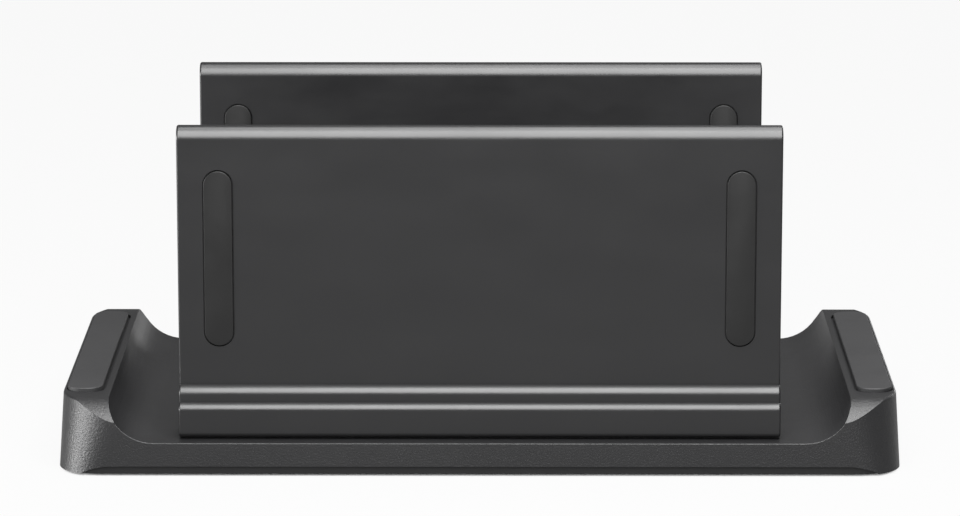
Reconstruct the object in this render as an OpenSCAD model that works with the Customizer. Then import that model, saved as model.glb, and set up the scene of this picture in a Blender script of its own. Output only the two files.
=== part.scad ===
// Desk holder that keeps a small computer upright.
// Two thick clamping plates slide on a low moulded base with raised, padded ends.
// Units are millimetres. +Z is up, +X runs along the long side and -Y is the front.
// The origin is on the desk surface, under the centre of the base.

/* [Support plates] */
// Length of a support plate along X
support_length = 180; // [150:1:230]
// Thickness of a support plate
support_t = 8; // [7:0.1:12]
// Height of a support plate above the base floor
support_h = 94; // [80:1:150]
// Widest opening between the two plates
gap_max = 102.5; // [80:0.5:140]
// Narrowest opening between the two plates
gap_min = 30; // [24:1:60]
// How far the upper step of the foot stands out, which is also its rounding
upper_step = 2.9; // [2:0.1:4]
// How far the lower step stands out beyond the upper one, which is also its rounding
lower_step = 2.35; // [2:0.05:4]
// Top of the upper step above the floor
upper_step_h = 15.8; // [14:0.1:20]
// Top of the lower step above the floor
lower_step_h = 11; // [9:0.1:12]
// Rounding of the lower outer edge of the foot
sole_r = 1.5; // [0.8:0.1:2.2]
// Height of the shadow gap under the outer edge of the foot
sole_gap_h = 0.6; // [0.4:0.1:1.2]
// Depth of that shadow gap
sole_gap_d = 2.6; // [2:0.1:3.5]
// Rounding of the vertical end edges
end_edge_r = 0.6; // [0.3:0.1:1]

/* [Base outline] */
// Space between the ends of the supports and the ramps
end_gap = 7.3; // [4:0.1:20]
// Width of the flat top of a raised end
land_w = 14.5; // [13.5:0.1:24]
// Margin between the foot of an open support and the long edge of the floor
toe_margin = 4.4; // [2:0.1:20]
// Inward lean of the outer walls, in degrees
wall_draft = 2.2; // [0:0.2:5]
// Plan corner radius at the lower edge
corner_low_r = 13; // [8:0.5:18]
// Plan corner radius at the level of the raised ends
corner_high_r = 20; // [12:0.5:24]
// Rounding of the outer edge round the raised ends
top_edge_r = 0.8; // [0.3:0.1:1.2]

/* [Base section] */
// Height of the flat middle floor above the lower edge
floor_h = 9.6; // [8.6:0.1:14]
// Height of the raised ends above the middle floor
rise_h = 11.9; // [7:0.1:13.5]
// Radius of the ramp that sweeps up to each raised end
ramp_r = 14; // [14:0.2:22]
// Radius with which the raised ends roll down to the front and back
roll_r = 13; // [12:0.5:18]
// Distance over which that roll runs
roll_run = 10.6; // [6:0.1:11.5]
// Thickness of the side walls and of the raised tops
wall_t = 2.6; // [2:0.1:3.2]
// Thickness of the middle floor
floor_t = 3; // [2.4:0.1:4]

/* [Lower edge relief] */
// Height of the relief along the front and back lower edges
relief_h = 2.5; // [2.5:0.1:3]
// Distance from the end of the base to the full-height stretch of the relief
relief_inset = 16.5; // [14:0.5:40]
// Length of the rising stretch at each end of the relief
relief_run = 9.5; // [5:0.5:12]

/* [Bottom plate] */
// Thickness of the steel bottom plate
plate_t = 2.4; // [2:0.1:2.4]
// Clearance between the bottom plate and the walls round it
plate_gap = 0.3; // [0.2:0.05:0.6]
// Setback of the plate's long edges behind the face of the wall
plate_setback = 1.2; // [0.6:0.1:2]
// Distance of the corner screws from the ends of the base
screw_inset_x = 22.5; // [20:0.5:28]
// Distance of all plate screws from the long edges of the base
screw_inset_y = 9.3; // [8:0.1:12]
// Nominal diameter of the plate screws
plate_screw_d = 3; // [2.5:0.1:3.5]
// Head diameter of the plate screws
plate_head_d = 5.6; // [5:0.1:6.4]
// Length of the plate screws
plate_screw_l = 6; // [5:0.2:7]

/* [Rubber feet and pads] */
// Length of a foot along X
foot_l = 34; // [16:1:36]
// Width of a foot along Y
foot_w = 11; // [6:0.5:14]
// Height of a foot below the bottom plate
foot_proud = 0.8; // [0.4:0.1:2]
// Depth of the pocket that holds a foot or a pad
pad_pocket = 1; // [0.6:0.1:1.4]
// Distance of a foot's centre from the end of the base
foot_inset_x = 38.5; // [36:0.5:39]
// Distance of a foot's centre from the long edge of the base
foot_inset_y = 27; // [22:0.5:32]
// Width of the rest pad on each raised end
pad_w = 10.6; // [9.2:0.1:11]
// Height of the rest pad above the raised end
pad_proud = 1; // [0.8:0.1:2]
// Margin between the rest pad and the outer edge of the raised end
pad_margin = 1.2; // [1.1:0.1:1.6]
// Distance from the ends of the rest pad to the start of the roll
pad_inset = 5.4; // [1:0.1:10]
// Corner radius of the rest pad in plan
pad_corner_r = 4.5; // [1:0.1:4.5]
// Width of the open groove along the inner side and the ends of the rest pad
pad_groove = 0.8; // [0.3:0.1:0.9]
// Rounding of the rest pad's upper edges
pad_edge_r = 0.3; // [0.2:0.1:0.7]
// Clearance round every rubber piece in its pocket
rubber_gap = 0.25; // [0.15:0.05:0.4]

/* [Rubber strips] */
// Width of a strip
strip_w = 8.4; // [5:0.1:12]
// Length of a strip
strip_l = 53; // [30:1:60]
// Distance from the end of the plate to the middle of a strip
strip_inset = 12.2; // [8:0.1:30]
// Distance from the top of the plate to the top of a strip
strip_drop = 13.2; // [8:0.1:20]
// Depth of the groove that holds a strip
strip_pocket = 1; // [0.6:0.1:1.6]
// Height of a strip above the face of the plate
strip_proud = 0.5; // [0.2:0.1:1]

/* [Clamp screws] */
// Nominal diameter of the clamp screws
clamp_d = 5; // [4:0.5:6]
// Distance of the clamp screws from the ends of the plate
clamp_inset = 30; // [20:1:60]
// Depth of the tapped hole in the support plate
tap_depth = 12; // [8:0.5:14]
// Head diameter of the clamp screws
clamp_head_d = 8.5; // [7:0.1:9]
// Head height of the clamp screws
clamp_head_h = 2.6; // [2:0.1:2.8]
// Outer diameter of the washers
washer_d = 10; // [9:0.1:11]
// Thickness of the washers
washer_t = 1; // [0.8:0.1:1.2]
// Clearance on each side of a clamp screw in its slot
slot_gap = 0.35; // [0.3:0.05:0.8]

/* [Hidden] */

$fn = 96;
// Overshoot that makes a cut pass cleanly through a face
cut = 1;
// Thickness of the discs that a hull is spanned over
disc = 0.01;

// Levels above the desk
lower_z = foot_proud;
floor_z = lower_z + floor_h;
top_z = floor_z + rise_h;
plate_top_z = lower_z + plate_t;
ceiling_z = floor_z - floor_t;

// Support plates, given for the back one: its inner face looks towards -Y
inner_y = gap_max / 2;
outer_y = inner_y + support_t;
upper_y = outer_y + upper_step;
toe_y = upper_y + lower_step;
travel = (gap_max - gap_min) / 2;
support_top_z = floor_z + support_h;
strip_x = support_length / 2 - strip_inset;
strip_mid_z = support_top_z - strip_drop - strip_l / 2;
clamp_x = support_length / 2 - clamp_inset;
clamp_y = (inner_y + toe_y) / 2;

// The base is sized from the supports that stand on it, from its floor outwards
lean = tan(wall_draft);
ramp_run = sqrt(pow(ramp_r, 2) - pow(ramp_r - rise_h, 2));
floor_half = support_length / 2 + end_gap;
high_x = floor_half + ramp_run + land_w;
half_x = high_x + (top_z - lower_z) * lean;
half_y = toe_y + toe_margin + floor_h * lean;
high_y = half_y - (top_z - lower_z) * lean;
base_length = 2 * half_x;
base_depth = 2 * half_y;
// Where the raised top starts to roll down
roll_y = high_y - roll_run;
relief_half = half_x - relief_inset;
relief_gap = 0.1;
// How much deeper than the wall the relief is cut, which clears its rounded inner corners
relief_spare = 2;

// Plan corner radius of the walls at a height above the lower edge
function corner_r(h) = corner_low_r + (corner_high_r - corner_low_r) * h / (top_z - lower_z);

// Clamp screws and their slots
tap_clear = 0.05;
thread_free = 2;
washer_gap = 0.3;
clamp_hex_d = 3.5;
clamp_hex_depth = 1.8;
slot_w = clamp_d + 2 * slot_gap;
access_gap = 0.5;
access_w = washer_d + 2 * access_gap;

// Ribs under the floor, with room for a washer between those beside a slot
rib_t = 1.6;
rib_gap = 0.4;
rib_side_room = 1.6;
rib_end_room = 1;
slot_rib_x = washer_d / 2 + rib_side_room + rib_t / 2;

// Plate screws and bosses
boss_d = 8;
thread_bite = 0.2;
core_clear = 0.05;
boss_bore_d = plate_screw_d - 2 * thread_bite;
boss_spare = 1;
screw_clear = 0.2;
plate_hex_d = 2.3;
plate_hex_depth = 1.2;
head_angle_h = (plate_head_d - plate_screw_d) / 2;
screw_x = half_x - screw_inset_x;
screw_y = half_y - screw_inset_y;
screw_places = [for (x = [-screw_x, 0, screw_x], y = [-screw_y, screw_y]) [x, y]];

// Rubber feet and rest pads
foot_x = half_x - foot_inset_x;
foot_y = half_y - foot_inset_y;
pad_x = high_x - pad_margin - pad_w / 2;
pad_l = 2 * (roll_y - pad_inset);
pad_pocket_x = pad_x - (pad_groove - rubber_gap) / 2;

base_colour = [0.22, 0.22, 0.23];
metal_colour = [0.27, 0.27, 0.28];
rubber_colour = [0.16, 0.16, 0.165];
steel_colour = [0.55, 0.55, 0.56];
plate_colour = [0.2, 0.2, 0.21];

// A profile in the YZ plane, run along X on both sides of the centre
module along_x(length) {
    rotate([90, 0, 90]) linear_extrude(height = length, center = true) children();
}

// A profile in the XZ plane, run along Y on both sides of the centre
module along_y(length) {
    rotate([90, 0, 0]) linear_extrude(height = length, center = true) children();
}

// Children as drawn on the back (side = 1), or mirrored to the front (side = -1)
module on_side(side) {
    if (side < 0) mirror([0, 1, 0]) children();
    else children();
}

// Stadium: a straight bar with full round ends, its long axis along the first axis
module stadium(length, width) {
    straight = length - width;
    square([straight, width], center = true);
    for (end = [-1, 1]) translate([end * straight / 2, 0]) circle(d = width);
}

// Rectangle with true round corners
module rounded_rect(length, width, r) {
    square([length - 2 * r, width], center = true);
    square([length, width - 2 * r], center = true);
    for (x = [-1, 1], y = [-1, 1]) translate([x * (length / 2 - r), y * (width / 2 - r)]) circle(r);
}

// Outer form of the base before its top is shaped: walls that lean in by the draft and
// corners that open from the low radius to the high one. "inside" moves every wall inwards.
module drafted_block(inside, z_top, edge_r) {
    hull() {
        corner_discs(half_x - inside, half_y - inside, corner_low_r - inside, lower_z);
        for (a = [0:22.5:90]) {
            z = z_top - edge_r * (1 - sin(a));
            shrink = inside + (z - lower_z) * lean + edge_r * (1 - cos(a));
            corner_discs(half_x - shrink, half_y - shrink, corner_high_r - inside, z);
        }
    }
}

// Four thin discs that touch the sides of a rectangle in its corners
module corner_discs(x, y, r, z) {
    for (sx = [-1, 1], sy = [-1, 1])
        translate([sx * (x - r), sy * (y - r), z - disc / 2]) cylinder(r = r, h = disc, center = true);
}

// Cross-section of the raised ends, rolling down to the front and back
module roll_profile(inside) {
    z = top_z - roll_r;
    r = roll_r - inside;
    translate([-roll_y, lower_z - cut]) square([2 * roll_y, top_z - inside - lower_z + cut]);
    translate([-half_y, lower_z - cut]) square([base_depth, z - lower_z + cut]);
    for (side = [-1, 1]) translate([side * roll_y, z]) circle(r);
}

// Long profile of the space over the floor, between the two ramps
module valley_profile(outside) {
    r = ramp_r + outside;
    translate([-floor_half, floor_z - outside]) square([2 * floor_half, 2 * r]);
    for (side = [-1, 1]) translate([side * floor_half, floor_z + ramp_r]) circle(r);
}

// Relief profile along the lower edge, with ends that rise on an arc, shrunk by "gap"
module relief_profile(gap) {
    r = (pow(relief_run, 2) + pow(relief_h, 2)) / (2 * relief_h);
    h = relief_h - gap + cut;
    intersection() {
        translate([-half_x, lower_z - cut]) square([base_length, h]);
        union() {
            translate([-relief_half, lower_z - cut]) square([2 * relief_half, h]);
            for (side = [-1, 1]) translate([side * relief_half, lower_z + relief_h - r]) circle(r - gap);
        }
    }
}

module base_body() {
    difference() {
        intersection() {
            drafted_block(0, top_z, top_edge_r);
            along_x(base_length + cut) roll_profile(0);
        }
        along_y(base_depth + cut) valley_profile(0);
    }
}

// The hollow under the base: the outer form moved inwards by the wall
module base_hollow() {
    difference() {
        intersection() {
            drafted_block(wall_t, top_z - wall_t, top_edge_r);
            along_x(base_length + cut) roll_profile(wall_t + pad_pocket);
        }
        along_y(base_depth + cut) valley_profile(floor_t);
    }
}

// Slot along Y that a clamp screw travels in, from its open place to its closed one
module clamp_slot(width, z0, z1) {
    for (side = [-1, 1], x = [-clamp_x, clamp_x])
        translate([x, side * (clamp_y - travel / 2), z0])
            linear_extrude(height = z1 - z0) rotate(90) stadium(travel + width, width);
}

// Ribs beside the slots and bosses for the plate screws, hanging from the ceiling
module base_ribs() {
    rib_bottom = plate_top_z + rib_gap;
    rib_half = clamp_y + washer_d / 2 + rib_end_room;
    for (x = [-clamp_x, clamp_x], off = [-slot_rib_x, slot_rib_x])
        translate([x + off - rib_t / 2, -rib_half, rib_bottom])
            cube([rib_t, 2 * rib_half, ceiling_z - rib_bottom + disc]);
    for (x = [-floor_half, -floor_half / 3, floor_half / 3, floor_half])
        translate([x - rib_t / 2, -half_y, rib_bottom])
            cube([rib_t, base_depth, floor_z - cut - rib_bottom]);
    for (p = screw_places) translate([p[0], p[1], plate_top_z])
        cylinder(d = boss_d, h = top_z);
}

module base_shell() {
    color(base_colour) difference() {
        union() {
            difference() {
                base_body();
                base_hollow();
            }
            intersection() {
                base_body();
                base_ribs();
            }
        }
        clamp_slot(slot_w, ceiling_z - cut, floor_z + cut);
        for (side = [-1, 1]) translate([side * pad_pocket_x, 0, top_z - pad_pocket])
            linear_extrude(height = pad_pocket + cut)
                rounded_rect(pad_w + rubber_gap + pad_groove, pad_l + 2 * pad_groove, pad_corner_r + rubber_gap);
        for (p = screw_places) translate([p[0], p[1], lower_z])
            cylinder(d = boss_bore_d, h = plate_screw_l + boss_spare);
        for (side = [-1, 1]) translate([0, side * half_y, 0])
            along_y(2 * (wall_t + relief_spare)) relief_profile(0);
    }
}

// Outline of the bottom plate between the walls
module plate_outline() {
    inner = wall_t + plate_gap + plate_t * lean;
    rounded_rect(base_length - 2 * inner, base_depth - 2 * inner, corner_r(plate_t) - wall_t);
}

// The plate's reach into the relief of both long walls, with a top that follows the relief
module plate_lips() {
    intersection() {
        translate([0, 0, lower_z]) linear_extrude(height = plate_t) rounded_rect(
            base_length - 2 * plate_setback, base_depth - 2 * plate_setback, corner_low_r - plate_setback);
        along_y(base_depth) relief_profile(relief_gap);
    }
}

module bottom_plate() {
    color(plate_colour) difference() {
        union() {
            translate([0, 0, lower_z]) linear_extrude(height = plate_t) plate_outline();
            plate_lips();
        }
        clamp_slot(access_w, lower_z - cut, plate_top_z + cut);
        for (p = screw_places) translate([p[0], p[1], lower_z]) {
            translate([0, 0, -cut]) cylinder(d = plate_screw_d + 2 * screw_clear, h = plate_t + 2 * cut);
            countersink(screw_clear);
        }
        for (x = [-foot_x, foot_x], y = [-foot_y, foot_y])
            translate([x, y, lower_z - cut]) linear_extrude(height = pad_pocket + cut)
                stadium(foot_l + 2 * rubber_gap, foot_w + 2 * rubber_gap);
    }
}

// Cone of a countersunk head with its wide end down, and the space below it
module countersink(clear) {
    head_r = plate_head_d / 2 + clear;
    shank_r = plate_screw_d / 2 + clear;
    cylinder(r1 = head_r, r2 = shank_r, h = head_r - shank_r);
    translate([0, 0, -cut]) cylinder(r = head_r, h = cut);
}

// Countersunk screws that hold the bottom plate, flush with its lower face
module bottom_plate_screws() {
    color(steel_colour) for (p = screw_places) translate([p[0], p[1], lower_z]) difference() {
        union() {
            cylinder(d1 = plate_head_d, d2 = plate_screw_d, h = head_angle_h);
            cylinder(d = boss_bore_d - 2 * core_clear, h = plate_screw_l);
            cylinder(d = plate_screw_d, h = plate_t);
        }
        translate([0, 0, -cut]) cylinder(d = plate_hex_d, h = cut + plate_hex_depth, $fn = 6);
    }
}

// Long rubber foot in a pocket of the bottom plate
module rubber_foot(side_x, side_y) {
    color(rubber_colour) translate([side_x * foot_x, side_y * foot_y, 0])
        linear_extrude(height = foot_proud + pad_pocket) stadium(foot_l, foot_w);
}

// Rubber pad let into the top of a raised end, with rounded upper edges
module rest_pad(side_x) {
    color(rubber_colour) translate([side_x * pad_x, 0, top_z - pad_pocket]) intersection() {
        linear_extrude(height = pad_pocket + pad_proud) rounded_rect(pad_w, pad_l, pad_corner_r);
        along_y(pad_l + cut) soft_top_profile(pad_w);
        along_x(pad_w + cut) soft_top_profile(pad_l);
    }
}

// Section of a pad: square below, with its two upper corners rounded
module soft_top_profile(width) {
    h = pad_pocket + pad_proud;
    translate([-width / 2, -cut]) square([width, h - pad_edge_r + cut]);
    translate([-width / 2 + pad_edge_r, -cut]) square([width - 2 * pad_edge_r, h + cut]);
    for (side = [-1, 1]) translate([side * (width / 2 - pad_edge_r), h - pad_edge_r]) circle(pad_edge_r);
}

// A layer of a support, from its inner face out to face_y, with rounded vertical end edges.
// The children give its section.
module support_layer(face_y) {
    intersection() {
        translate([0, (face_y + inner_y) / 2, floor_z]) linear_extrude(height = support_h + cut)
            rounded_rect(support_length, face_y - inner_y, end_edge_r);
        along_x(support_length + cut) children();
    }
}

// Section of a step of the foot: a block whose outer top corner is a quarter round
module step_profile(face_y, z, r) {
    depth = face_y - inner_y;
    translate([inner_y, floor_z]) square([depth, z - r - floor_z]);
    translate([inner_y, floor_z]) square([depth - r, z - floor_z]);
    translate([face_y - r, z - r]) circle(r);
}

// Section of the lowest step, whose outer edge is also rounded below and stands clear of the floor
module toe_profile() {
    depth = toe_y - inner_y;
    waist_z = floor_z + sole_gap_h + sole_r;
    step_z = floor_z + lower_step_h;
    translate([inner_y, floor_z]) square([depth - sole_gap_d, lower_step_h]);
    translate([inner_y, floor_z + sole_gap_h]) square([depth - sole_r, lower_step_h / 2]);
    translate([inner_y, waist_z]) square([depth, step_z - lower_step - waist_z]);
    translate([inner_y, waist_z]) square([depth - lower_step, step_z - waist_z]);
    translate([toe_y - sole_r, waist_z]) circle(sole_r);
    translate([toe_y - lower_step, step_z - lower_step]) circle(lower_step);
}

// Section of the upright wall with its full round top
module wall_profile() {
    r = support_t / 2;
    translate([inner_y, floor_z]) square([support_t, support_h - r]);
    translate([inner_y + r, support_top_z - r]) circle(r);
}

// Pocket or strip on one face of a support, in the place and size of the strip grown by "grow"
module strip_form(side_x, face_y, depth_in, depth_out, grow) {
    translate([side_x * strip_x, face_y, strip_mid_z]) rotate([90, 0, 0])
        translate([0, 0, -depth_out]) linear_extrude(height = depth_in + depth_out)
            rotate(90) stadium(strip_l + 2 * grow, strip_w + 2 * grow);
}

module support(side) {
    color(metal_colour) on_side(side) difference() {
        union() {
            support_layer(outer_y) wall_profile();
            support_layer(upper_y) step_profile(upper_y, floor_z + upper_step_h, upper_step);
            support_layer(toe_y) toe_profile();
        }
        for (x = [-clamp_x, clamp_x]) translate([x, clamp_y, floor_z - cut])
            cylinder(d = clamp_d, h = tap_depth + cut);
        for (x = [-1, 1]) {
            strip_form(x, outer_y, strip_pocket, cut, rubber_gap);
            strip_form(x, inner_y, cut, strip_pocket, rubber_gap);
        }
    }
}

// Rubber strip in the outer (face = 1) or inner (face = -1) side of a support
module strip(side, face, side_x) {
    color(rubber_colour) on_side(side)
        if (face > 0) strip_form(side_x, outer_y, strip_pocket, strip_proud, 0);
        else strip_form(side_x, inner_y, strip_proud, strip_pocket, 0);
}

// Low-head socket screw that pulls a support down on the floor from below
module clamp_screw(side, side_x) {
    head_top = ceiling_z - washer_t;
    color(steel_colour) on_side(side) translate([side_x * clamp_x, clamp_y, 0]) difference() {
        union() {
            translate([0, 0, head_top - clamp_head_h]) cylinder(d = clamp_head_d, h = clamp_head_h);
            translate([0, 0, head_top - disc])
                cylinder(d = clamp_d - 2 * tap_clear, h = floor_z + tap_depth - thread_free - head_top);
        }
        translate([0, 0, head_top - clamp_head_h - cut])
            cylinder(d = clamp_hex_d, h = cut + clamp_hex_depth, $fn = 6);
    }
}

// Washer between the head of a clamp screw and the underside of the floor
module washer(side, side_x) {
    color(steel_colour) on_side(side) translate([side_x * clamp_x, clamp_y, ceiling_z - washer_t])
        difference() {
            cylinder(d = washer_d, h = washer_t);
            translate([0, 0, -cut]) cylinder(d = clamp_d + 2 * washer_gap, h = washer_t + 2 * cut);
        }
}

base_shell();
bottom_plate();
bottom_plate_screws();
rest_pad(-1);  // left_rest_pad
rest_pad(1);  // right_rest_pad
rubber_foot(-1, -1);  // foot_front_left
rubber_foot(1, -1);  // foot_front_right
rubber_foot(-1, 1);  // foot_back_left
rubber_foot(1, 1);  // foot_back_right
support(-1);  // front_support
support(1);  // back_support
strip(-1, 1, -1);  // front_outer_left_strip
strip(-1, 1, 1);  // front_outer_right_strip
strip(-1, -1, -1);  // front_inner_left_strip
strip(-1, -1, 1);  // front_inner_right_strip
strip(1, 1, -1);  // back_outer_left_strip
strip(1, 1, 1);  // back_outer_right_strip
strip(1, -1, -1);  // back_inner_left_strip
strip(1, -1, 1);  // back_inner_right_strip
clamp_screw(-1, -1);  // front_left_clamp_screw
clamp_screw(-1, 1);  // front_right_clamp_screw
clamp_screw(1, -1);  // back_left_clamp_screw
clamp_screw(1, 1);  // back_right_clamp_screw
washer(-1, -1);  // front_left_washer
washer(-1, 1);  // front_right_washer
washer(1, -1);  // back_left_washer
washer(1, 1);  // back_right_washer
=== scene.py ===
"""Computer holder: a padded desk base with two sliding support plates, in a white studio."""

import logging
import math
from dataclasses import dataclass
from enum import Enum

import bmesh
import bpy
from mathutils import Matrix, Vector


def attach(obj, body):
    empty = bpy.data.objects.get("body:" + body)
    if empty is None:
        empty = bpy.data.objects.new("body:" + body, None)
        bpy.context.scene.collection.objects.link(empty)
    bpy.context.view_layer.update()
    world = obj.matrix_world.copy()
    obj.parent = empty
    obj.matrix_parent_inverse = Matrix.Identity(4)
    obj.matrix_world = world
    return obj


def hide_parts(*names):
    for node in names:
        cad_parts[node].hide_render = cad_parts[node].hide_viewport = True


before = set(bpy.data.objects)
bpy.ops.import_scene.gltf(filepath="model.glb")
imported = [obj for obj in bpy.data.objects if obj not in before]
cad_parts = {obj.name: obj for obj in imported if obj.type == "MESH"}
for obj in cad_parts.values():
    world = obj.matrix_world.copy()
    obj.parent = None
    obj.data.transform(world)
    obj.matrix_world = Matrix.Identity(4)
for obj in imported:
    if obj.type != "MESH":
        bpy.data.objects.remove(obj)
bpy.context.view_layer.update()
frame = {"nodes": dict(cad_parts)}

LOG = logging.getLogger("computer_holder")

MM = 0.001
# Segments of a full circle in the small turned parts
ROUND = 48
# Edges sharper than this stay sharp in the shading, unless a piece says otherwise
SHARP_DEG = 32.0
# A round end stops this much short of a half circle, so that no two points fall together
ROUND_SLACK = 0.01
# Keeps the inset of a very sharp corner from running away
SHARPEST_CORNER = 0.2
# The bevel profile of a true arc
ARC_PROFILE = 0.5
# Sockets of a colour mix, which share their names with those of its other data types
MIX_SHARE, MIX_FIRST, MIX_SECOND, MIX_RESULT = 0, 6, 7, 2
# Settings of the noise behind the patches of tone and gloss, and behind the grain
PATCH_NOISE = {"Detail": 4.0, "Roughness": 0.6}
GRAIN_NOISE = {"Detail": 3.0, "Roughness": 0.65}
# Nearly all values of the patches' noise lie between these two
PATCH_SPAN = (0.3, 0.7)

Point2 = tuple[float, float]
Point3 = tuple[float, float, float]
Ring = list[Point3]


# ---------------------------------------------------------------- small tools


def linear(hex_colour: str) -> tuple[float, float, float, float]:
    """Turn an sRGB hex colour into linear light.

    Args:
        hex_colour: Six hex digits, such as "3a3a3c".

    Returns:
        Linear red, green and blue, and an alpha of 1.
    """
    values = [int(hex_colour[i:i + 2], 16) / 255 for i in (0, 2, 4)]
    # The sRGB curve: a straight start, then a power
    return (*[v / 12.92 if v <= 0.04045 else ((v + 0.055) / 1.055) ** 2.4 for v in values], 1.0)


def add_node(tree: bpy.types.NodeTree, kind: str, inputs: dict[str | int, object] | None = None,
             **settings: object) -> bpy.types.Node:
    """Add a node with its settings, its input values and its links.

    Args:
        tree: The tree that the node goes into.
        kind: Blender's name of the node's type.
        inputs: Value or source socket for each input, by name or number.
        **settings: Properties of the node itself.

    Returns:
        The new node.
    """
    node = tree.nodes.new(kind)
    for name, value in settings.items():
        setattr(node, name, value)
    for key, value in (inputs or {}).items():
        if isinstance(value, bpy.types.NodeSocket):
            tree.links.new(value, node.inputs[key])
        else:
            node.inputs[key].default_value = value
    return node


def arc(centre: Point2, radius: float, start: float, end: float, count: int) -> list[Point2]:
    """Points along an arc.

    Args:
        centre: Centre of the arc.
        radius: Its radius.
        start: First angle in degrees.
        end: Last angle in degrees.
        count: Number of segments.

    Returns:
        The points, first and last included.
    """
    turns = [math.radians(start + (end - start) * i / count) for i in range(count + 1)]
    return [(centre[0] + radius * math.cos(t), centre[1] + radius * math.sin(t)) for t in turns]


def unit_circle() -> list[Point2]:
    """Points of a circle of radius 1, its first point not repeated."""
    return arc((0, 0), 1.0, 0, 360 - 360 / ROUND, ROUND - 1)


def rounded_outline(length: float, width: float, radius: float, count: int = 12) -> list[Point2]:
    """Outline of a rectangle with round corners, counter-clockwise.

    Args:
        length: Size along the first axis.
        width: Size along the second axis.
        radius: Corner radius.
        count: Segments in each corner.

    Returns:
        The points of the outline.
    """
    x, y = length / 2 - radius, width / 2 - radius
    corners = [((x, -y), -90), ((x, y), 0), ((-x, y), 90), ((-x, -y), 180)]
    return [p for centre, start in corners for p in arc(centre, radius, start, start + 90, count)]


def inset(outline: list[Point2], distance: float) -> list[Point2]:
    """Move every side of a closed outline inwards.

    Args:
        outline: Points, counter-clockwise.
        distance: How far each side moves.

    Returns:
        As many points as went in.
    """
    moved = []
    for i, (x, y) in enumerate(outline):
        before, after = outline[i - 1], outline[(i + 1) % len(outline)]
        normals = []
        for (ax, ay), (bx, by) in ((before, (x, y)), ((x, y), after)):
            size = math.hypot(bx - ax, by - ay) or 1.0
            normals.append((-(by - ay) / size, (bx - ax) / size))
        (n0x, n0y), (n1x, n1y) = normals
        share = distance / max(SHARPEST_CORNER, 1 + n0x * n1x + n0y * n1y)
        moved.append((x + (n0x + n1x) * share, y + (n0y + n1y) * share))
    return moved


def new_piece(name: str, bodies: list[list[Ring]], finish: "Finish | None" = None,
              looped: bool = False) -> bpy.types.Object:
    """Make one object from closed lofted bodies, given in millimetres.

    Args:
        name: Name of the piece.
        bodies: For each body, its rings of equally many points, from one cap to the other.
        finish: Material of the piece.
        looped: True where the last ring joins the first, so that there are no caps.

    Returns:
        The new object, at the origin.
    """
    bm = bmesh.new()
    for rings in bodies:
        loops = [[bm.verts.new(Vector(p) * MM) for p in ring] for ring in rings]
        for low, high in zip(loops, loops[1:] + loops[:1] if looped else loops[1:]):
            for i in range(len(low)):
                j = (i + 1) % len(low)
                bm.faces.new((low[i], low[j], high[j], high[i]))
        if not looped:
            bm.faces.new(list(reversed(loops[0])))
            bm.faces.new(loops[-1])
    bmesh.ops.recalc_face_normals(bm, faces=bm.faces)
    mesh = bpy.data.meshes.new(name)
    bm.to_mesh(mesh)
    bm.free()
    return piece_from_mesh(name, mesh, finish)


def piece_from_mesh(name: str, mesh: bpy.types.Mesh, finish: "Finish | None" = None,
                    smooth_deg: float = SHARP_DEG) -> bpy.types.Object:
    """Link a mesh to the scene, with smooth shading between its sharp edges.

    Args:
        name: Name of the piece.
        mesh: Its mesh, in metres.
        finish: Material of the piece.
        smooth_deg: Edges sharper than this stay sharp.

    Returns:
        The new object, at the origin.
    """
    mesh.shade_smooth()
    mesh.set_sharp_from_angle(angle=math.radians(smooth_deg))
    piece = bpy.data.objects.new(name, mesh)
    bpy.context.scene.collection.objects.link(piece)
    if finish is not None:
        mesh.materials.clear()
        mesh.materials.append(finish.material())
    return piece


def flat_faces_first(piece: bpy.types.Object) -> None:
    """Let large flat faces set the shading, so that roundings don't darken them.

    Args:
        piece: The piece to shade.
    """
    weighted = piece.modifiers.new("weighted_normals", "WEIGHTED_NORMAL")
    weighted.keep_sharp = True
    # The largest face at a point sets its normal alone
    weighted.weight = 100


def baked(piece: bpy.types.Object) -> bpy.types.Mesh:
    """Turn an object with its modifiers into a plain mesh, and remove the object.

    Args:
        piece: The object.

    Returns:
        The plain mesh.
    """
    evaluated = piece.evaluated_get(bpy.context.evaluated_depsgraph_get())
    mesh = bpy.data.meshes.new_from_object(evaluated)
    bpy.data.objects.remove(piece)
    return mesh


def hand_over(piece: bpy.types.Object, body: str, nodes: list[str]) -> None:
    """Let a piece ride on its body, in place of the CAD nodes it stands for.

    Args:
        piece: The finished piece.
        body: Body of the frame.
        nodes: CAD nodes that the piece replaces.
    """
    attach(piece, body)
    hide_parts(*nodes)
    LOG.info("%s on %s: %d faces", piece.name, body, len(piece.data.polygons))


# ------------------------------------------------------------------- finishes


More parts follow.
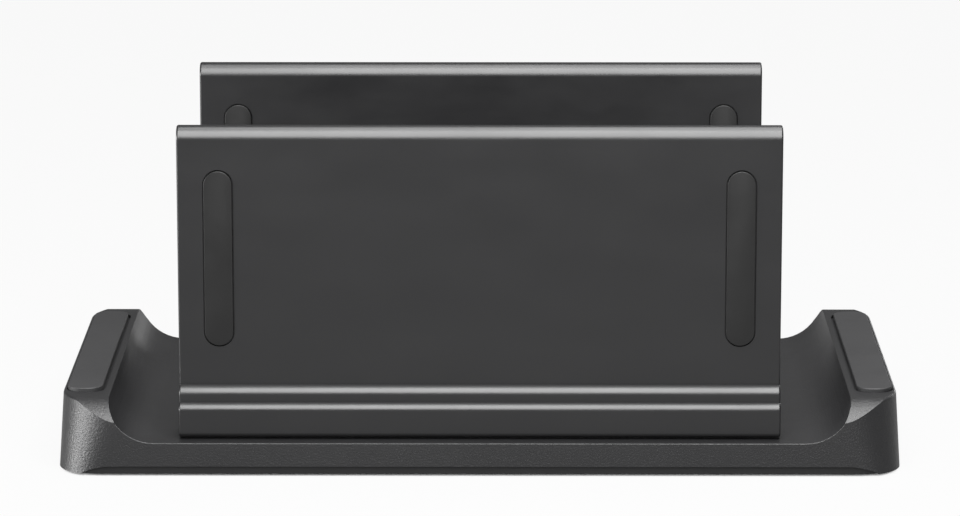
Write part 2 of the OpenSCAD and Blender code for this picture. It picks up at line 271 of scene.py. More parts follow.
@dataclass(frozen=True)
class Finish:
    """A surface with grain, a slow change of tone and a slow change of gloss.

    Attributes:
        name: Name of the material.
        colour: sRGB hex colour.
        light_colour: sRGB hex colour of its lighter patches.
        roughness: Middle roughness.
        gloss_swing: How far the roughness goes up and down over the surface.
        patch_mm: Size of the patches of tone and gloss.
        grain_mm: Size of one grain of the surface.
        grain_depth_mm: Height of the grain.
        grain_strength: Share of that height that the light feels.
        metallic: 1 for bare metal.
        ior: Index of refraction of a coat, plastic or rubber.
        stretch: How much longer the patches are along X, Y and Z.
    """

    name: str
    colour: str
    light_colour: str
    roughness: float
    gloss_swing: float
    patch_mm: float
    grain_mm: float
    grain_depth_mm: float
    grain_strength: float = 0.5
    metallic: float = 0.0
    ior: float = 1.5
    stretch: Point3 = (1.0, 1.0, 1.0)

    def material(self) -> bpy.types.Material:
        """Return this finish as a material, built on first use."""
        found = bpy.data.materials.get(self.name)
        if found is not None:
            return found
        material = bpy.data.materials.new(self.name)
        material.use_nodes = True
        tree = material.node_tree
        tree.nodes.clear()
        place = add_node(tree, "ShaderNodeTexCoord").outputs["Object"]
        colour, rough = self.tone_and_gloss(tree, place)
        shader = add_node(tree, "ShaderNodeBsdfPrincipled", {
            "Base Color": colour, "Roughness": rough, "Metallic": self.metallic,
            "Normal": self.grain(tree, place)})
        if self.metallic < 1:
            shader.inputs["IOR"].default_value = self.ior
        add_node(tree, "ShaderNodeOutputMaterial", {"Surface": shader.outputs["BSDF"]})
        return material

    def tone_and_gloss(self, tree: bpy.types.NodeTree, place: bpy.types.NodeSocket
                       ) -> tuple[bpy.types.NodeSocket, bpy.types.NodeSocket]:
        """Soft patches of tone and gloss.

        Args:
            tree: The material's tree.
            place: Object coordinates.

        Returns:
            The sockets for colour and roughness.
        """
        scale = [1 / (self.patch_mm * MM * s) for s in self.stretch]
        stretched = add_node(tree, "ShaderNodeMapping", {"Vector": place, "Scale": scale})
        patches = add_node(tree, "ShaderNodeTexNoise", {
            "Vector": stretched.outputs["Vector"], "Scale": 1.0, **PATCH_NOISE})
        colour = add_node(tree, "ShaderNodeMix", {
            MIX_SHARE: patches.outputs["Fac"], MIX_FIRST: linear(self.colour),
            MIX_SECOND: linear(self.light_colour)}, data_type="RGBA")
        rough = add_node(tree, "ShaderNodeMapRange", {
            "Value": patches.outputs["Fac"],
            "From Min": PATCH_SPAN[0], "From Max": PATCH_SPAN[1],
            "To Min": self.roughness + self.gloss_swing,
            "To Max": self.roughness - self.gloss_swing})
        return colour.outputs[MIX_RESULT], rough.outputs["Result"]

    def grain(self, tree: bpy.types.NodeTree, place: bpy.types.NodeSocket) -> bpy.types.NodeSocket:
        """The fine relief of the surface.

        Args:
            tree: The material's tree.
            place: Object coordinates.

        Returns:
            The normal socket.
        """
        noise = add_node(tree, "ShaderNodeTexNoise", {
            "Vector": place, "Scale": 1 / (self.grain_mm * MM), **GRAIN_NOISE})
        bump = add_node(tree, "ShaderNodeBump", {
            "Height": noise.outputs["Fac"], "Strength": self.grain_strength,
            "Distance": self.grain_depth_mm * MM})
        return bump.outputs["Normal"]


# The real grain of the rubbers, of the sheet steel's coat and of the zinc is 0.05 to 0.1 mm wide,
# which is too fine to show, so it is drawn several times as coarse.

# ABS, injection moulded in a spark-eroded tool: an even matt grain that glitters in a highlight.
# The sparkle in the lit corner of the base is 0.6 mm wide, so the grain is drawn at that size.
MOULDED_ABS = Finish(
    "moulded_abs", "111112", "151516", roughness=0.4, gloss_swing=0.03, patch_mm=30.0,
    grain_mm=0.6, grain_depth_mm=0.14, grain_strength=1.0, ior=1.46)
# Extruded aluminium with a satin polyester powder coat: soft broad highlights, a faint unevenness
# that follows the extrusion, and a fine orange peel about 1 mm wide.
SATIN_COAT = Finish(
    "satin_powder_coat", "0b0b0c", "0f0f10", roughness=0.36, gloss_swing=0.04, patch_mm=14.0,
    grain_mm=0.9, grain_depth_mm=0.02, grain_strength=0.2, stretch=(2.5, 1.0, 1.0))
# Silicone rubber, moulded in a blasted tool: matt, a little dust in its fine grain.
STRIP_SILICONE = Finish(
    "strip_silicone", "090909", "0c0c0c", roughness=0.44, gloss_swing=0.04, patch_mm=9.0,
    grain_mm=0.5, grain_depth_mm=0.03, grain_strength=0.4, ior=1.4)
# EPDM rubber, moulded flat: matt and slightly lighter, with a soft bloom on it.
PAD_RUBBER = Finish(
    "pad_epdm", "171718", "1a1a1b", roughness=0.6, gloss_swing=0.05, patch_mm=18.0,
    grain_mm=0.45, grain_depth_mm=0.03, grain_strength=0.4, ior=1.48)
# Nitrile rubber feet: near black and matt.
FOOT_RUBBER = Finish(
    "foot_nitrile", "1d1d1e", "252526", roughness=0.7, gloss_swing=0.05, patch_mm=8.0,
    grain_mm=0.5, grain_depth_mm=0.04, grain_strength=0.4, ior=1.48)
# Sheet steel with a fine satin coat.
COATED_STEEL = Finish(
    "coated_sheet_steel", "0a0a0b", "0d0d0e", roughness=0.42, gloss_swing=0.04, patch_mm=22.0,
    grain_mm=0.6, grain_depth_mm=0.02, grain_strength=0.4, ior=1.45)
# Zinc-plated steel: a thin bright plating with a cloudy, slightly bluish tone.
ZINC_STEEL = Finish(
    "zinc_plated_steel", "9fa1a6", "b4b6ba", roughness=0.34, gloss_swing=0.07, patch_mm=2.5,
    grain_mm=0.25, grain_depth_mm=0.006, grain_strength=0.4, metallic=1.0)


# ------------------------------------------------------------ repeated pieces


class PatternSocket(Enum):
    """Named inputs of the grid pattern, with their socket types."""

    PIECE = ("Piece", "NodeSocketObject")
    SPACING_X = ("Spacing X", "NodeSocketFloat")
    SPACING_Y = ("Spacing Y", "NodeSocketFloat")
    COUNT_X = ("Count X", "NodeSocketInt")
    COUNT_Y = ("Count Y", "NodeSocketInt")
    OFFSET = ("Offset", "NodeSocketVector")
    MATERIAL = ("Material", "NodeSocketMaterial")

    def __init__(self, label: str, kind: str) -> None:
        """Give the two parts of the value their names."""
        self.label, self.kind = label, kind


@dataclass(frozen=True)
class GridPattern:
    """Copies of one piece on the points of a grid, made by geometry nodes.

    Attributes:
        spacing_mm: Full width of the grid along X and along Y.
        count: Number of copies along X and along Y.
        offset_mm: Centre of the grid.
    """

    spacing_mm: Point2
    count: tuple[int, int]
    offset_mm: Point3 = (0.0, 0.0, 0.0)

    @staticmethod
    def tree() -> tuple[bpy.types.NodeTree, dict[PatternSocket, str]]:
        """Build the node tree, or find it.

        Returns:
            The tree, and the identifier of each of its named inputs.
        """
        tree = bpy.data.node_groups.get("grid_pattern")
        if tree is None:
            tree = bpy.data.node_groups.new("grid_pattern", "GeometryNodeTree")
            for socket in PatternSocket:
                tree.interface.new_socket(
                    name=socket.label, in_out="INPUT", socket_type=socket.kind)
            tree.interface.new_socket(
                name="Geometry", in_out="OUTPUT", socket_type="NodeSocketGeometry")
            given = add_node(tree, "NodeGroupInput").outputs
            grid = add_node(tree, "GeometryNodeMeshGrid", {
                "Size X": given["Spacing X"], "Size Y": given["Spacing Y"],
                "Vertices X": given["Count X"], "Vertices Y": given["Count Y"]})
            placed = add_node(tree, "GeometryNodeTransform", {
                "Geometry": grid.outputs["Mesh"], "Translation": given["Offset"]})
            info = add_node(tree, "GeometryNodeObjectInfo", {"Object": given["Piece"]})
            copies = add_node(tree, "GeometryNodeInstanceOnPoints", {
                "Points": placed.outputs["Geometry"], "Instance": info.outputs["Geometry"]})
            real = add_node(tree, "GeometryNodeRealizeInstances", {
                "Geometry": copies.outputs["Instances"]})
            dressed = add_node(tree, "GeometryNodeSetMaterial", {
                "Geometry": real.outputs["Geometry"], "Material": given["Material"]})
            add_node(tree, "NodeGroupOutput", {"Geometry": dressed.outputs["Geometry"]})
        ids = {item.name: item.identifier for item in tree.interface.items_tree
               if item.in_out == "INPUT"}
        return tree, {socket: ids[socket.label] for socket in PatternSocket}

    def build(self, name: str, source: bpy.types.Object, finish: Finish) -> bpy.types.Object:
        """Repeat a piece and turn the result into one plain mesh.

        Args:
            name: Name of the new piece.
            source: The piece to repeat, centred on the origin; it is removed.
            finish: Material of the copies.

        Returns:
            The new piece.
        """
        tree, ids = self.tree()
        host = bpy.data.objects.new(name + "_host", bpy.data.meshes.new(name + "_host"))
        bpy.context.scene.collection.objects.link(host)
        pattern = host.modifiers.new("pattern", "NODES")
        pattern.node_group = tree
        pattern[ids[PatternSocket.PIECE]] = source
        pattern[ids[PatternSocket.SPACING_X]] = self.spacing_mm[0] * MM
        pattern[ids[PatternSocket.SPACING_Y]] = self.spacing_mm[1] * MM
        pattern[ids[PatternSocket.COUNT_X]] = self.count[0]
        pattern[ids[PatternSocket.COUNT_Y]] = self.count[1]
        pattern[ids[PatternSocket.OFFSET]] = [v * MM for v in self.offset_mm]
        pattern[ids[PatternSocket.MATERIAL]] = finish.material()
        mesh = baked(host)
        bpy.data.objects.remove(source)
        return piece_from_mesh(name, mesh, finish)


def soft_slab(outline: list[Point2], low: float, high: float, low_edge: float, high_edge: float,
              count: int = 4) -> list[Ring]:
    """Rings of a slab whose lower and upper edges are rounded.

    Args:
        outline: Its outline, counter-clockwise.
        low: Height of the underside.
        high: Height of the top.
        low_edge: Radius of the lower edge.
        high_edge: Radius of the upper edge.
        count: Segments in each rounding.

    Returns:
        Rings from the underside to the top.
    """
    rings: list[Ring] = []
    for edge, z, way in ((low_edge, low, 1), (high_edge, high, -1)):
        steps = range(count + 1) if way > 0 else range(count, -1, -1)
        for step in steps if edge > 0 else [0]:
            turn = math.radians(90 * step / count)
            shrunk = inset(outline, edge * (1 - math.sin(turn)))
            level = z + way * edge * (1 - math.cos(turn))
            rings.append([(x, y, level) for x, y in shrunk])
    return rings


def hex_outline(corner_d: float) -> list[Point2]:
    """A hexagon with as many points as the turned rings, so that the two can be joined.

    Args:
        corner_d: Size across its corners.

    Returns:
        The points of the outline.
    """
    # Each side takes up a sixth of the turn
    side = math.pi / 3
    flat = corner_d / 2 * math.cos(side / 2)
    points = []
    for i in range(ROUND):
        turn = 2 * math.pi * i / ROUND
        reach = flat / math.cos(turn % side - side / 2)
        points.append((reach * math.cos(turn), reach * math.sin(turn)))
    return points


def turned(profile: list[Point2], socket_d: float, socket_bottom: float) -> list[Ring]:
    """Rings of a turned part with a hexagon socket in its lower end.

    Args:
        profile: Radius and height of each ring, from the rim of the socket's face upwards.
        socket_d: Size of the socket across its corners.
        socket_bottom: Height of the bottom of the socket.

    Returns:
        Rings from the bottom of the socket, out over the face and up to the far end.
    """
    mouth = profile[0][1]
    socket = [[(x, y, z) for x, y in hex_outline(socket_d)] for z in (socket_bottom, mouth)]
    return socket + [[(x * r, y * r, z) for x, y in unit_circle()] for r, z in profile]


# --------------------------------------------------------------- sub-assemblies


class Jaw(Enum):
    """The two supports, with their body in the frame and their side along Y."""

    FRONT = ("front", "front_jaw", -1)
    BACK = ("back", "back_jaw", 1)

    def __init__(self, label: str, body: str, side: int) -> None:
        """Give the three parts of the value their names."""
        self.label, self.body, self.side = label, body, side


class End(Enum):
    """The two ends of the holder, with their side along X."""

    LEFT = ("left", -1)
    RIGHT = ("right", 1)

    def __init__(self, label: str, side: int) -> None:
        """Give the two parts of the value their names."""
        self.label, self.side = label, side


@dataclass
class Support:
    """One support: an extruded plate with a stepped foot, four strips, two screws and washers.

    Its sizes are in millimetres, and its section is given for the back one.

    Attributes:
        jaw: The front or the back one.
    """

    jaw: Jaw

    # The plate: inner face and thickness along Y, and the small radius at its sawn ends
    length: float = 180.0
    floor_z: float = 10.4
    height: float = 94.0
    inner_y: float = 51.25
    wall: float = 8.0
    end_r: float = 0.6

    # Its foot: depth and height of the two steps, and the shadow gap under the toe
    upper_step: float = 2.9
    upper_step_h: float = 15.8
    lower_step: float = 2.35
    lower_step_h: float = 11.0
    sole_r: float = 1.5
    sole_gap_h: float = 0.6
    sole_gap_d: float = 2.6

    # Segments in the arcs of the sole, the steps and the round top
    sole_count: int = 8
    step_count: int = 12
    top_count: int = 36

    # The strips: middle, outline, depth of the pocket, height, edge radius and the gap all round
    strip_x: float = 77.8
    strip_z: float = 64.7
    strip_w: float = 8.4
    strip_l: float = 53.0
    strip_pocket: float = 1.0
    strip_proud: float = 0.5
    strip_edge: float = 0.15
    strip_gap: float = 0.4
    # How far the cutters of the pockets stand out of the faces
    cutter_proud: float = 1.0

    # The clamp screws and their washers, which lie against the ceiling of the base's hollow
    clamp_x: float = 60.0
    ceiling_z: float = 7.4
    washer_d: float = 10.0
    washer_hole_d: float = 5.6
    washer_t: float = 1.0
    washer_edge: float = 0.12
    head_d: float = 8.5
    head_h: float = 2.6
    head_edge: float = 0.3
    shank_d: float = 4.9
    tip_edge: float = 0.6
    screw_top: float = 20.4
    socket_d: float = 3.5
    socket_depth: float = 1.8

    def profile(self) -> list[Point2]:
        """Draw the section of the plate and its foot.

        Returns:
            Points as depth and height, counter-clockwise.
        """
        floor, inner = self.floor_z, self.inner_y
        face = inner + self.wall
        upper, toe = face + self.upper_step, face + self.upper_step + self.lower_step
        heel, waist = toe - self.sole_gap_d, floor + self.sole_gap_h + self.sole_r
        points = [(inner, floor), (heel, floor), (heel, floor + self.sole_gap_h)]
        points += arc((toe - self.sole_r, waist), self.sole_r, -90, 0, self.sole_count)
        step = self.lower_step
        points += arc((toe - step, floor + self.lower_step_h - step), step, 0, 90, self.step_count)
        step = self.upper_step
        points += arc((upper - step, floor + self.upper_step_h - step), step, 0, 90,
                      self.step_count)
        half = self.wall / 2
        points += arc((inner + half, floor + self.height - half), half, 0, 180, self.top_count)
        return points

    def plate(self) -> bpy.types.Object:
        """Loft the plate along X with rounded ends, and sink the pockets of the strips.

        Returns:
            The plate.
        """
        reach = self.length / 2
        along = soft_slab(self.profile(), -reach, reach, self.end_r, self.end_r)
        rings = [[(x, self.jaw.side * y, z) for y, z, x in ring] for ring in along]
        name = f"{self.jaw.label}_plate"
        plate = new_piece(name, [rings])
        pockets = self.strip_rings(self.strip_gap, self.cutter_proud, sunk=True)
        cutter = new_piece("pockets", pockets)
        cut = plate.modifiers.new("pockets", "BOOLEAN")
        cut.operation, cut.solver, cut.object = "DIFFERENCE", "EXACT", cutter
        mesh = baked(plate)
        bpy.data.objects.remove(cutter)
        piece = piece_from_mesh(name, mesh, SATIN_COAT)
        flat_faces_first(piece)
        return piece

    def strip_rings(self, grow: float, proud: float, sunk: bool = False) -> list[list[Ring]]:
        """Rings of the strips, or of the cutters for their pockets.

        Args:
            grow: Added all round the outline.
            proud: Height above the faces of the plate.
            sunk: True for all four in their places, False for one pair about X 0.

        Returns:
            Rings of each body.
        """
        outline = rounded_outline(self.strip_w + 2 * grow, self.strip_l + 2 * grow,
                                  self.strip_w / 2 + grow - ROUND_SLACK)
        edge = 0.0 if sunk else self.strip_edge
        slab = soft_slab(outline, -self.strip_pocket, proud, 0.0, edge)
        return [[[(x + u, self.jaw.side * (face + way * w), self.strip_z + v) for u, v, w in ring]
                 for ring in slab]
                for x in ((-self.strip_x, self.strip_x) if sunk else (0.0,))
                for face, way in ((self.inner_y, -1), (self.inner_y + self.wall, 1))]

    def washer(self) -> bpy.types.Object:
        """Make one washer on the Z axis: its section turned all the way round.

        Returns:
            The washer.
        """
        outer, hole, edge = self.washer_d / 2, self.washer_hole_d / 2, self.washer_edge
        low, high = self.ceiling_z - self.washer_t, self.ceiling_z
        section = [(hole, low), (outer - edge, low), (outer, low + edge), (outer, high - edge),
                   (outer - edge, high), (hole, high)]
        rings = [[(r * x, r * y, z) for x, y in unit_circle()] for r, z in section]
        return new_piece("washer", [rings], looped=True)

    def clamp_screw(self) -> bpy.types.Object:
        """Make one low-head screw on the Z axis, head down, with a hexagon socket.

        Returns:
            The screw.
        """
        top = self.ceiling_z - self.washer_t
        bottom = top - self.head_h
        head, shank = self.head_d / 2, self.shank_d / 2
        profile = [(head - self.head_edge, bottom), (head, bottom + self.head_edge), (head, top),
                   (shank, top), (shank, self.screw_top - self.tip_edge),
                   (shank - self.tip_edge, self.screw_top)]
        rings = turned(profile, self.socket_d, bottom + self.socket_depth)
        return new_piece("clamp_screw", [rings])

    def build(self) -> None:
        """Build the support's pieces and set them on its body."""
        label, body = self.jaw.label, self.jaw.body
        hand_over(self.plate(), body, [f"{label}_support"])
        pair = new_piece("strip_pair", self.strip_rings(0.0, self.strip_proud))
        strips = GridPattern((2 * self.strip_x, 0.0), (len(End), 1)).build(
            f"{label}_strips", pair, STRIP_SILICONE)
        hand_over(strips, body, [
            f"{label}_{face}_{end.label}_strip" for face in ("outer", "inner") for end in End])
        toe = self.inner_y + self.wall + self.upper_step + self.lower_step
        middle = self.jaw.side * (self.inner_y + toe) / 2
        row = GridPattern((2 * self.clamp_x, 0.0), (len(End), 1), (0.0, middle, 0.0))
        for kind, source, slot in (("clamp_screw", self.clamp_screw(), "screw_steel"),
                                   ("washer", self.washer(), "washer_steel")):
            pieces = row.build(f"{label}_{kind}s", source, ZINC_STEEL)
            hand_over(pieces, body, [f"{label}_{end.label}_{kind}" for end in End])


@dataclass
class Base:
    """The moulded base with its bottom plate, screws, feet and rest pads.

    Its sizes are in millimetres.

    Attributes:
        nodes: The CAD nodes by name.
    """

    nodes: dict[str, bpy.types.Object]

    # Levels of the bottom plate's underside, the floor and the raised ends
    lower_z: float = 0.8
    floor_z: float = 10.4
    top_z: float = 22.3

    # Points this close are merged and faces this nearly flat are joined, before any edge is broken
    merge: float = 0.03
    flat_deg: float = 0.3
    # Radius of the broken edges and of the grooves' rims
    edge_r: float = 0.2
    groove_edge_r: float = 0.1
    edge_count: int = 2
    # Only edges sharper than this are broken, above the walls' foot and where they don't face down
    sharp_deg: float = 24.0
    foot_zone: float = 3.5
    downward: float = -0.05
    # Edges sharper than this stay sharp in the shading
    shade_deg: float = 9.0
    # The long walls' tops lie outside inside_y and end at wall_top_x, and the slots, at the floor's
    # level give or take level_play, lie within it
    inside_y: float = 65.0
    wall_top_x: float = 108.5
    level_play: float = 0.01
    # The line where a ramp ends and the raised end begins, and the play in finding it
    ramp_top_x: float = 110.7
    ramp_top_play: float = 0.6
    # The grooves' rims lie beyond groove_x and within groove_y
    groove_x: float = 111.5
    groove_y: float = 56.0

    # The rest pads
    pad_x: float = 119.14
    pad_w: float = 10.6
    pad_l: float = 104.8
    pad_pocket: float = 1.0
    pad_proud: float = 1.0
    pad_corner: float = 4.5
    pad_edge: float = 0.3

    # The feet, in pockets of the bottom plate
    foot_x: float = 87.97
    foot_y: float = 42.18
    foot_l: float = 34.0
    foot_w: float = 11.0
    foot_pocket: float = 1.0
    foot_edge: float = 0.3

    # The bottom plate's countersunk screws, in three columns and two rows
    screw_x: float = 103.97
    screw_y: float = 59.88
    screw_grid: tuple[int, int] = (3, 2)
    screw_head_d: float = 5.6
    screw_rim: float = 0.02
    screw_d: float = 3.0
    screw_core_d: float = 2.5
    screw_l: float = 6.0
    plate_t: float = 2.4
    socket_d: float = 2.3
    socket_depth: float = 1.2

    def shell(self) -> bpy.types.Object:
        """Make the moulded shell: the CAD solid with its outer edges broken by a small radius.

        Returns:
            The shell.
        """
        bm = bmesh.new()
        bm.from_mesh(self.nodes["base_shell"].data)
        bmesh.ops.remove_doubles(bm, verts=bm.verts, dist=self.merge * MM)
        bmesh.ops.dissolve_degenerate(bm, edges=bm.edges, dist=self.merge * MM)
        bmesh.ops.dissolve_limit(bm, angle_limit=math.radians(self.flat_deg),
                                 verts=bm.verts, edges=bm.edges)
        for zone, radius in ((self.is_long_edge, self.edge_r),
                             (self.is_groove_edge, self.groove_edge_r)):
            bm.normal_update()
            edges = [e for e in bm.edges
                     if self.is_outside(e) and zone((e.verts[0].co + e.verts[1].co) / 2 / MM)]
            # Clamping is off, because the solid's shortest edges would clamp the radius to nothing
            bmesh.ops.bevel(bm, geom=edges, offset=radius * MM, offset_type="OFFSET",
                            segments=self.edge_count, profile=ARC_PROFILE, affect="EDGES",
                            clamp_overlap=False)
            LOG.info("base shell: %d edges rounded to %.2f mm", len(edges), radius)
        mesh = bpy.data.meshes.new("base_shell_moulded")
        bm.to_mesh(mesh)
        bm.free()
        piece = piece_from_mesh("base_shell_moulded", mesh, MOULDED_ABS, self.shade_deg)
        flat_faces_first(piece)
        return piece

    def is_outside(self, edge: bmesh.types.BMEdge) -> bool:
        """Tell whether an edge is sharp and convex and shows from outside.

        Args:
            edge: Edge of the shell.

        Returns:
            False on the walls' foot, inside the base, and on soft or concave edges.
        """
        if len(edge.link_faces) != 2 or not edge.is_convex:
            return False
        if edge.calc_face_angle() < math.radians(self.sharp_deg):
            return False
        normal = edge.link_faces[0].normal + edge.link_faces[1].normal
        return normal.z > self.downward and all(
            v.co.z > self.foot_zone * MM for v in edge.verts)

    def is_long_edge(self, middle: Vector) -> bool:
        """Tell whether an edge is on the long walls' tops, a slot's mouth or a ramp's top.

        Args:
            middle: Middle of the edge, in millimetres.

        Returns:
            True on those edges.
        """
        x, y = abs(middle.x), abs(middle.y)
        wall_top = y > self.inside_y and x < self.wall_top_x
        slot = abs(middle.z - self.floor_z) < self.level_play and y < self.inside_y
        ramp_top = abs(x - self.ramp_top_x) < self.ramp_top_play and y < self.inside_y
        return wall_top or slot or ramp_top

    def is_groove_edge(self, middle: Vector) -> bool:
        """Tell whether an edge is on the rim of a groove that a rest pad lies in.

        Args:
            middle: Middle of the edge, in millimetres.

        Returns:
            True on those edges.
        """
        level = abs(middle.z - self.top_z) < self.level_play
        return level and abs(middle.x) > self.groove_x and abs(middle.y) < self.groove_y

    def pad(self, end: End) -> bpy.types.Object:
        """Make the rest pad of one raised end.

        Args:
            end: The left or the right one.

        Returns:
            The pad.
        """
        low, high = self.top_z - self.pad_pocket, self.top_z + self.pad_proud
        slab = soft_slab(rounded_outline(self.pad_w, self.pad_l, self.pad_corner), low, high,
                         0.0, self.pad_edge)
        rings = [[(end.side * self.pad_x + x, y, z) for x, y, z in ring] for ring in slab]
        piece = new_piece(f"{end.label}_pad", [rings], PAD_RUBBER)
        flat_faces_first(piece)
        return piece

    def plate_screw(self) -> bpy.types.Object:
        """Make one countersunk screw on the Z axis, head down, with a hexagon socket.

        Returns:
            The screw.
        """
        head, shank, core = self.screw_head_d / 2, self.screw_d / 2, self.screw_core_d / 2
        low = self.lower_z
        profile = [(head, low), (head, low + self.screw_rim), (shank, low + head - shank),
                   (shank, low + self.plate_t), (core, low + self.plate_t),
                   (core, low + self.screw_l)]
        rings = turned(profile, self.socket_d, low + self.socket_depth)
        return new_piece("plate_screw", [rings])

    def build(self) -> None:
        """Build the base's pieces and set them on its body."""
        hand_over(self.shell(), "base", ["base_shell"])
        for end in End:
            hand_over(self.pad(end), "base", [f"{end.label}_rest_pad"])
        foot = new_piece("foot", [soft_slab(
            rounded_outline(self.foot_l, self.foot_w, self.foot_w / 2 - ROUND_SLACK), 0.0,
            self.lower_z + self.foot_pocket, self.foot_edge, 0.0)])
        feet = GridPattern((2 * self.foot_x, 2 * self.foot_y), (len(End), len(Jaw))).build(
            "rubber_feet", foot, FOOT_RUBBER)
        hand_over(feet, "base",
                  [f"foot_{jaw.label}_{end.label}" for jaw in Jaw for end in End])
        screws = GridPattern((2 * self.screw_x, 2 * self.screw_y), self.screw_grid).build(
            "plate_screws", self.plate_screw(), ZINC_STEEL)
        hand_over(screws, "base", ["bottom_plate_screws"])
        for slot in self.nodes["bottom_plate"].material_slots:
            slot.material = COATED_STEEL.material()
        LOG.info("bottom_plate keeps its CAD shape")


@dataclass(frozen=True)
class Softbox:
    """A rectangular softbox.

    Attributes:
        name: Its name.
        place_mm: Its centre.
        aim_mm: The point it faces.
        size_mm: Its width and height.
        watts: Its power.
    """

    name: str
    place_mm: Point3
    aim_mm: Point3
    size_mm: Point2
    watts: float

    def hang(self) -> None:
        """Add the lamp to the scene."""
        data = bpy.data.lights.new(self.name, "AREA")
        data.shape, data.energy = "RECTANGLE", self.watts
        data.size, data.size_y = self.size_mm[0] * MM, self.size_mm[1] * MM
        lamp = bpy.data.objects.new(self.name, data)
        lamp.location = Vector(self.place_mm) * MM
        facing = Vector(self.aim_mm) - Vector(self.place_mm)
        lamp.rotation_euler = facing.to_track_quat("-Z", "Y").to_euler()
        bpy.context.scene.collection.objects.link(lamp)


SOFTBOXES = (
    # The bright lines on the plates' round tops and on the two steps of their feet
    Softbox("front_high", place_mm=(40.0, -440.0, 550.0), aim_mm=(0.0, 0.0, 60.0),
            size_mm=(660.0, 680.0), watts=17.6),
    # Light from above on the pads, the ramps and the floor of the base
    Softbox("top", place_mm=(100.0, 30.0, 740.0), aim_mm=(0.0, 0.0, 60.0),
            size_mm=(560.0, 540.0), watts=6.8),
    # The wide highlight on the base's left front corner
    Softbox("left", place_mm=(-1060.0, -290.0, 150.0), aim_mm=(0.0, 0.0, 10.0),
            size_mm=(720.0, 280.0), watts=17.5),
    # A little light from behind on the right end
    Softbox("right_back", place_mm=(620.0, 1150.0, 190.0), aim_mm=(0.0, 0.0, 10.0),
            size_mm=(240.0, 240.0), watts=1.2),
)


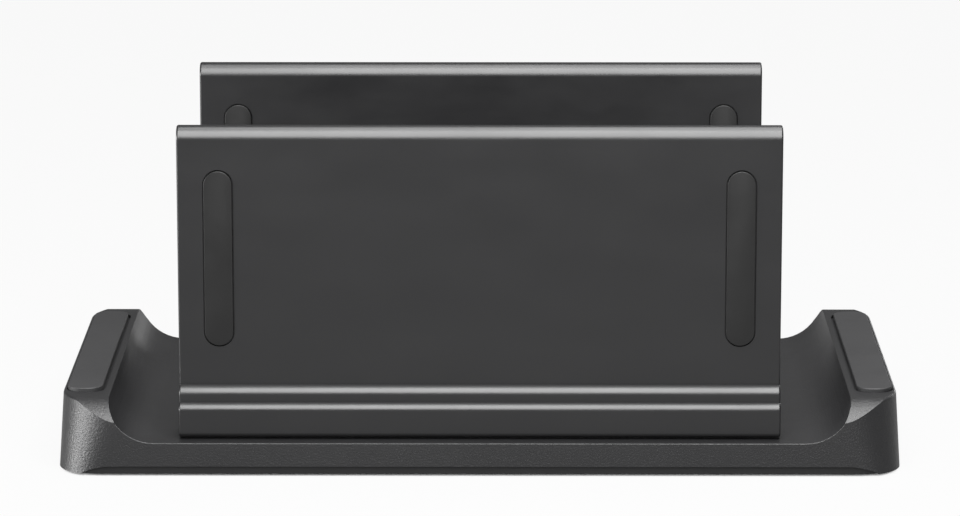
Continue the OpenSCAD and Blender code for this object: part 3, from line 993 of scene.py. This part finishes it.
@dataclass
class Studio:
    """Camera, pale floor, white surroundings and softboxes.

    Attributes:
        camera_at: Place of the camera, in millimetres.
        pitch_deg: How far it looks down.
        yaw_rad: How far it looks to the left.
        lens: Focal length in millimetres.
        sensor: Width of the sensor in millimetres.
        clip_m: Nearest and farthest distance that it shows.
        floor_size: Side of the floor, in millimetres.
        fibre_mm: Size of the paper's fibres, drawn coarse enough to show.
        fibre_detail: Layers of that noise.
        paper: sRGB hex colours between which the paper's tone varies.
        white: Strength at which the surroundings show.
        gloss_share: Share of that strength in a reflection or through glass.
        fill: Strength at which the surroundings light the object.
        under_mm: How far away the paper still notices the base above it, for the painted shade
            under the base.
        under_samples: Number of rays that it looks up with.
        under_open: Shares of open air at which the paper starts to glow and glows fully; with less
            open air the glow is taken away as painted shade.
        floor_glow: Share of white in the open floor.
    """

    camera_at: Point3 = (4.6, -1380.4, 350.1)
    pitch_deg: float = 12.18
    yaw_rad: float = 0.0034
    lens: float = 170.21
    sensor: float = 36.0
    clip_m: Point2 = (0.05, 20.0)
    floor_size: float = 6000.0
    fibre_mm: float = 2.5
    fibre_detail: float = 2.0
    paper: tuple[str, str] = ("787878", "7e7e7e")
    white: float = 1.0
    gloss_share: float = 0.13
    fill: float = 0.08
    under_mm: float = 100.0
    under_samples: int = 8
    under_open: Point2 = (0.03, 0.15)
    floor_glow: float = 0.93

    def camera(self) -> None:
        """Create the camera, at the place that was fitted to the photograph."""
        data = bpy.data.cameras.new("camera")
        data.lens, data.sensor_width, data.sensor_fit = self.lens, self.sensor, "HORIZONTAL"
        data.clip_start, data.clip_end = self.clip_m
        camera = bpy.data.objects.new("camera", data)
        camera.location = Vector(self.camera_at) * MM
        camera.rotation_euler = (math.radians(90 - self.pitch_deg), 0.0, self.yaw_rad)
        bpy.context.scene.collection.objects.link(camera)
        bpy.context.scene.camera = camera

    def seen_white(self, tree: bpy.types.NodeTree) -> bpy.types.NodeSocket:
        """Tell how much of the white a ray sees.

        Args:
            tree: Tree of the world or of the floor.

        Returns:
            The socket with 1 for the camera's rays, the share for gloss and glass, and else 0.
        """
        path = add_node(tree, "ShaderNodeLightPath").outputs
        bounced = add_node(tree, "ShaderNodeMath", {
            0: path["Is Glossy Ray"], 1: path["Is Transmission Ray"]},
            operation="ADD", use_clamp=True)
        return add_node(tree, "ShaderNodeMath", {
            0: bounced.outputs[0], 1: self.gloss_share, 2: path["Is Camera Ray"]},
            operation="MULTIPLY_ADD", use_clamp=True).outputs[0]

    def world(self) -> None:
        """Make the surroundings white to the eye, pale in gloss, and a soft grey fill as light."""
        world = bpy.data.worlds.new("studio")
        bpy.context.scene.world = world
        world.use_nodes = True
        tree = world.node_tree
        tree.nodes.clear()
        strength = add_node(tree, "ShaderNodeMapRange", {
            "Value": self.seen_white(tree), "To Min": self.fill, "To Max": self.white})
        back = add_node(tree, "ShaderNodeBackground", {
            "Color": linear("ffffff"), "Strength": strength.outputs["Result"]})
        add_node(tree, "ShaderNodeOutputWorld", {"Surface": back.outputs["Background"]})

    def floor(self) -> None:
        """Lay a pale floor, near white to the eye, with a light shadow and painted shade right
        under the base.
        """
        reach = self.floor_size / 2 * MM
        mesh = bpy.data.meshes.new("studio_floor")
        corners = [(-reach, -reach, 0), (reach, -reach, 0), (reach, reach, 0), (-reach, reach, 0)]
        mesh.from_pydata(corners, [], [(0, 1, 2, 3)])
        floor = bpy.data.objects.new("studio_floor", mesh)
        bpy.context.scene.collection.objects.link(floor)
        material = bpy.data.materials.new("matt_paper")
        material.use_nodes = True
        tree = material.node_tree
        tree.nodes.clear()
        place = add_node(tree, "ShaderNodeTexCoord").outputs["Object"]
        fibres = add_node(tree, "ShaderNodeTexNoise", {
            "Vector": place, "Scale": 1 / (self.fibre_mm * MM), "Detail": self.fibre_detail})
        tone = add_node(tree, "ShaderNodeMix", {
            MIX_SHARE: fibres.outputs["Fac"], MIX_FIRST: linear(self.paper[0]),
            MIX_SECOND: linear(self.paper[1])}, data_type="RGBA")
        paper = add_node(tree, "ShaderNodeBsdfDiffuse", {"Color": tone.outputs[MIX_RESULT]})
        glow = add_node(tree, "ShaderNodeEmission", {
            "Color": linear("ffffff"), "Strength": self.white})
        # Right under the base the paper's glow is taken away, as painted shade found by ambient
        # occlusion, so that the slots don't show white
        under_base_painted_shade = add_node(tree, "ShaderNodeAmbientOcclusion", {"Distance": self.under_mm * MM},
                       samples=self.under_samples)
        glow_outside_painted_shade = add_node(tree, "ShaderNodeMapRange", {
            "Value": under_base_painted_shade.outputs["AO"], "From Min": self.under_open[0],
            "From Max": self.under_open[1], "To Max": self.floor_glow})
        share = add_node(tree, "ShaderNodeMath", {
            0: self.seen_white(tree), 1: glow_outside_painted_shade.outputs["Result"]}, operation="MULTIPLY")
        mixed = add_node(tree, "ShaderNodeMixShader", {
            0: share.outputs[0], 1: paper.outputs["BSDF"], 2: glow.outputs["Emission"]})
        add_node(tree, "ShaderNodeOutputMaterial", {"Surface": mixed.outputs["Shader"]})
        mesh.materials.append(material)

    def build(self) -> None:
        """Set up the whole studio."""
        bpy.context.scene.view_settings.view_transform = "Standard"
        self.camera()
        self.world()
        self.floor()
        for softbox in SOFTBOXES:
            softbox.hang()


def main() -> None:
    """Build the studio and the holder."""
    logging.basicConfig(level=logging.INFO, format="%(name)s: %(message)s")
    Studio().build()
    Base(frame["nodes"]).build()
    for jaw in Jaw:
        Support(jaw).build()


if __name__ == "__main__":
    main()
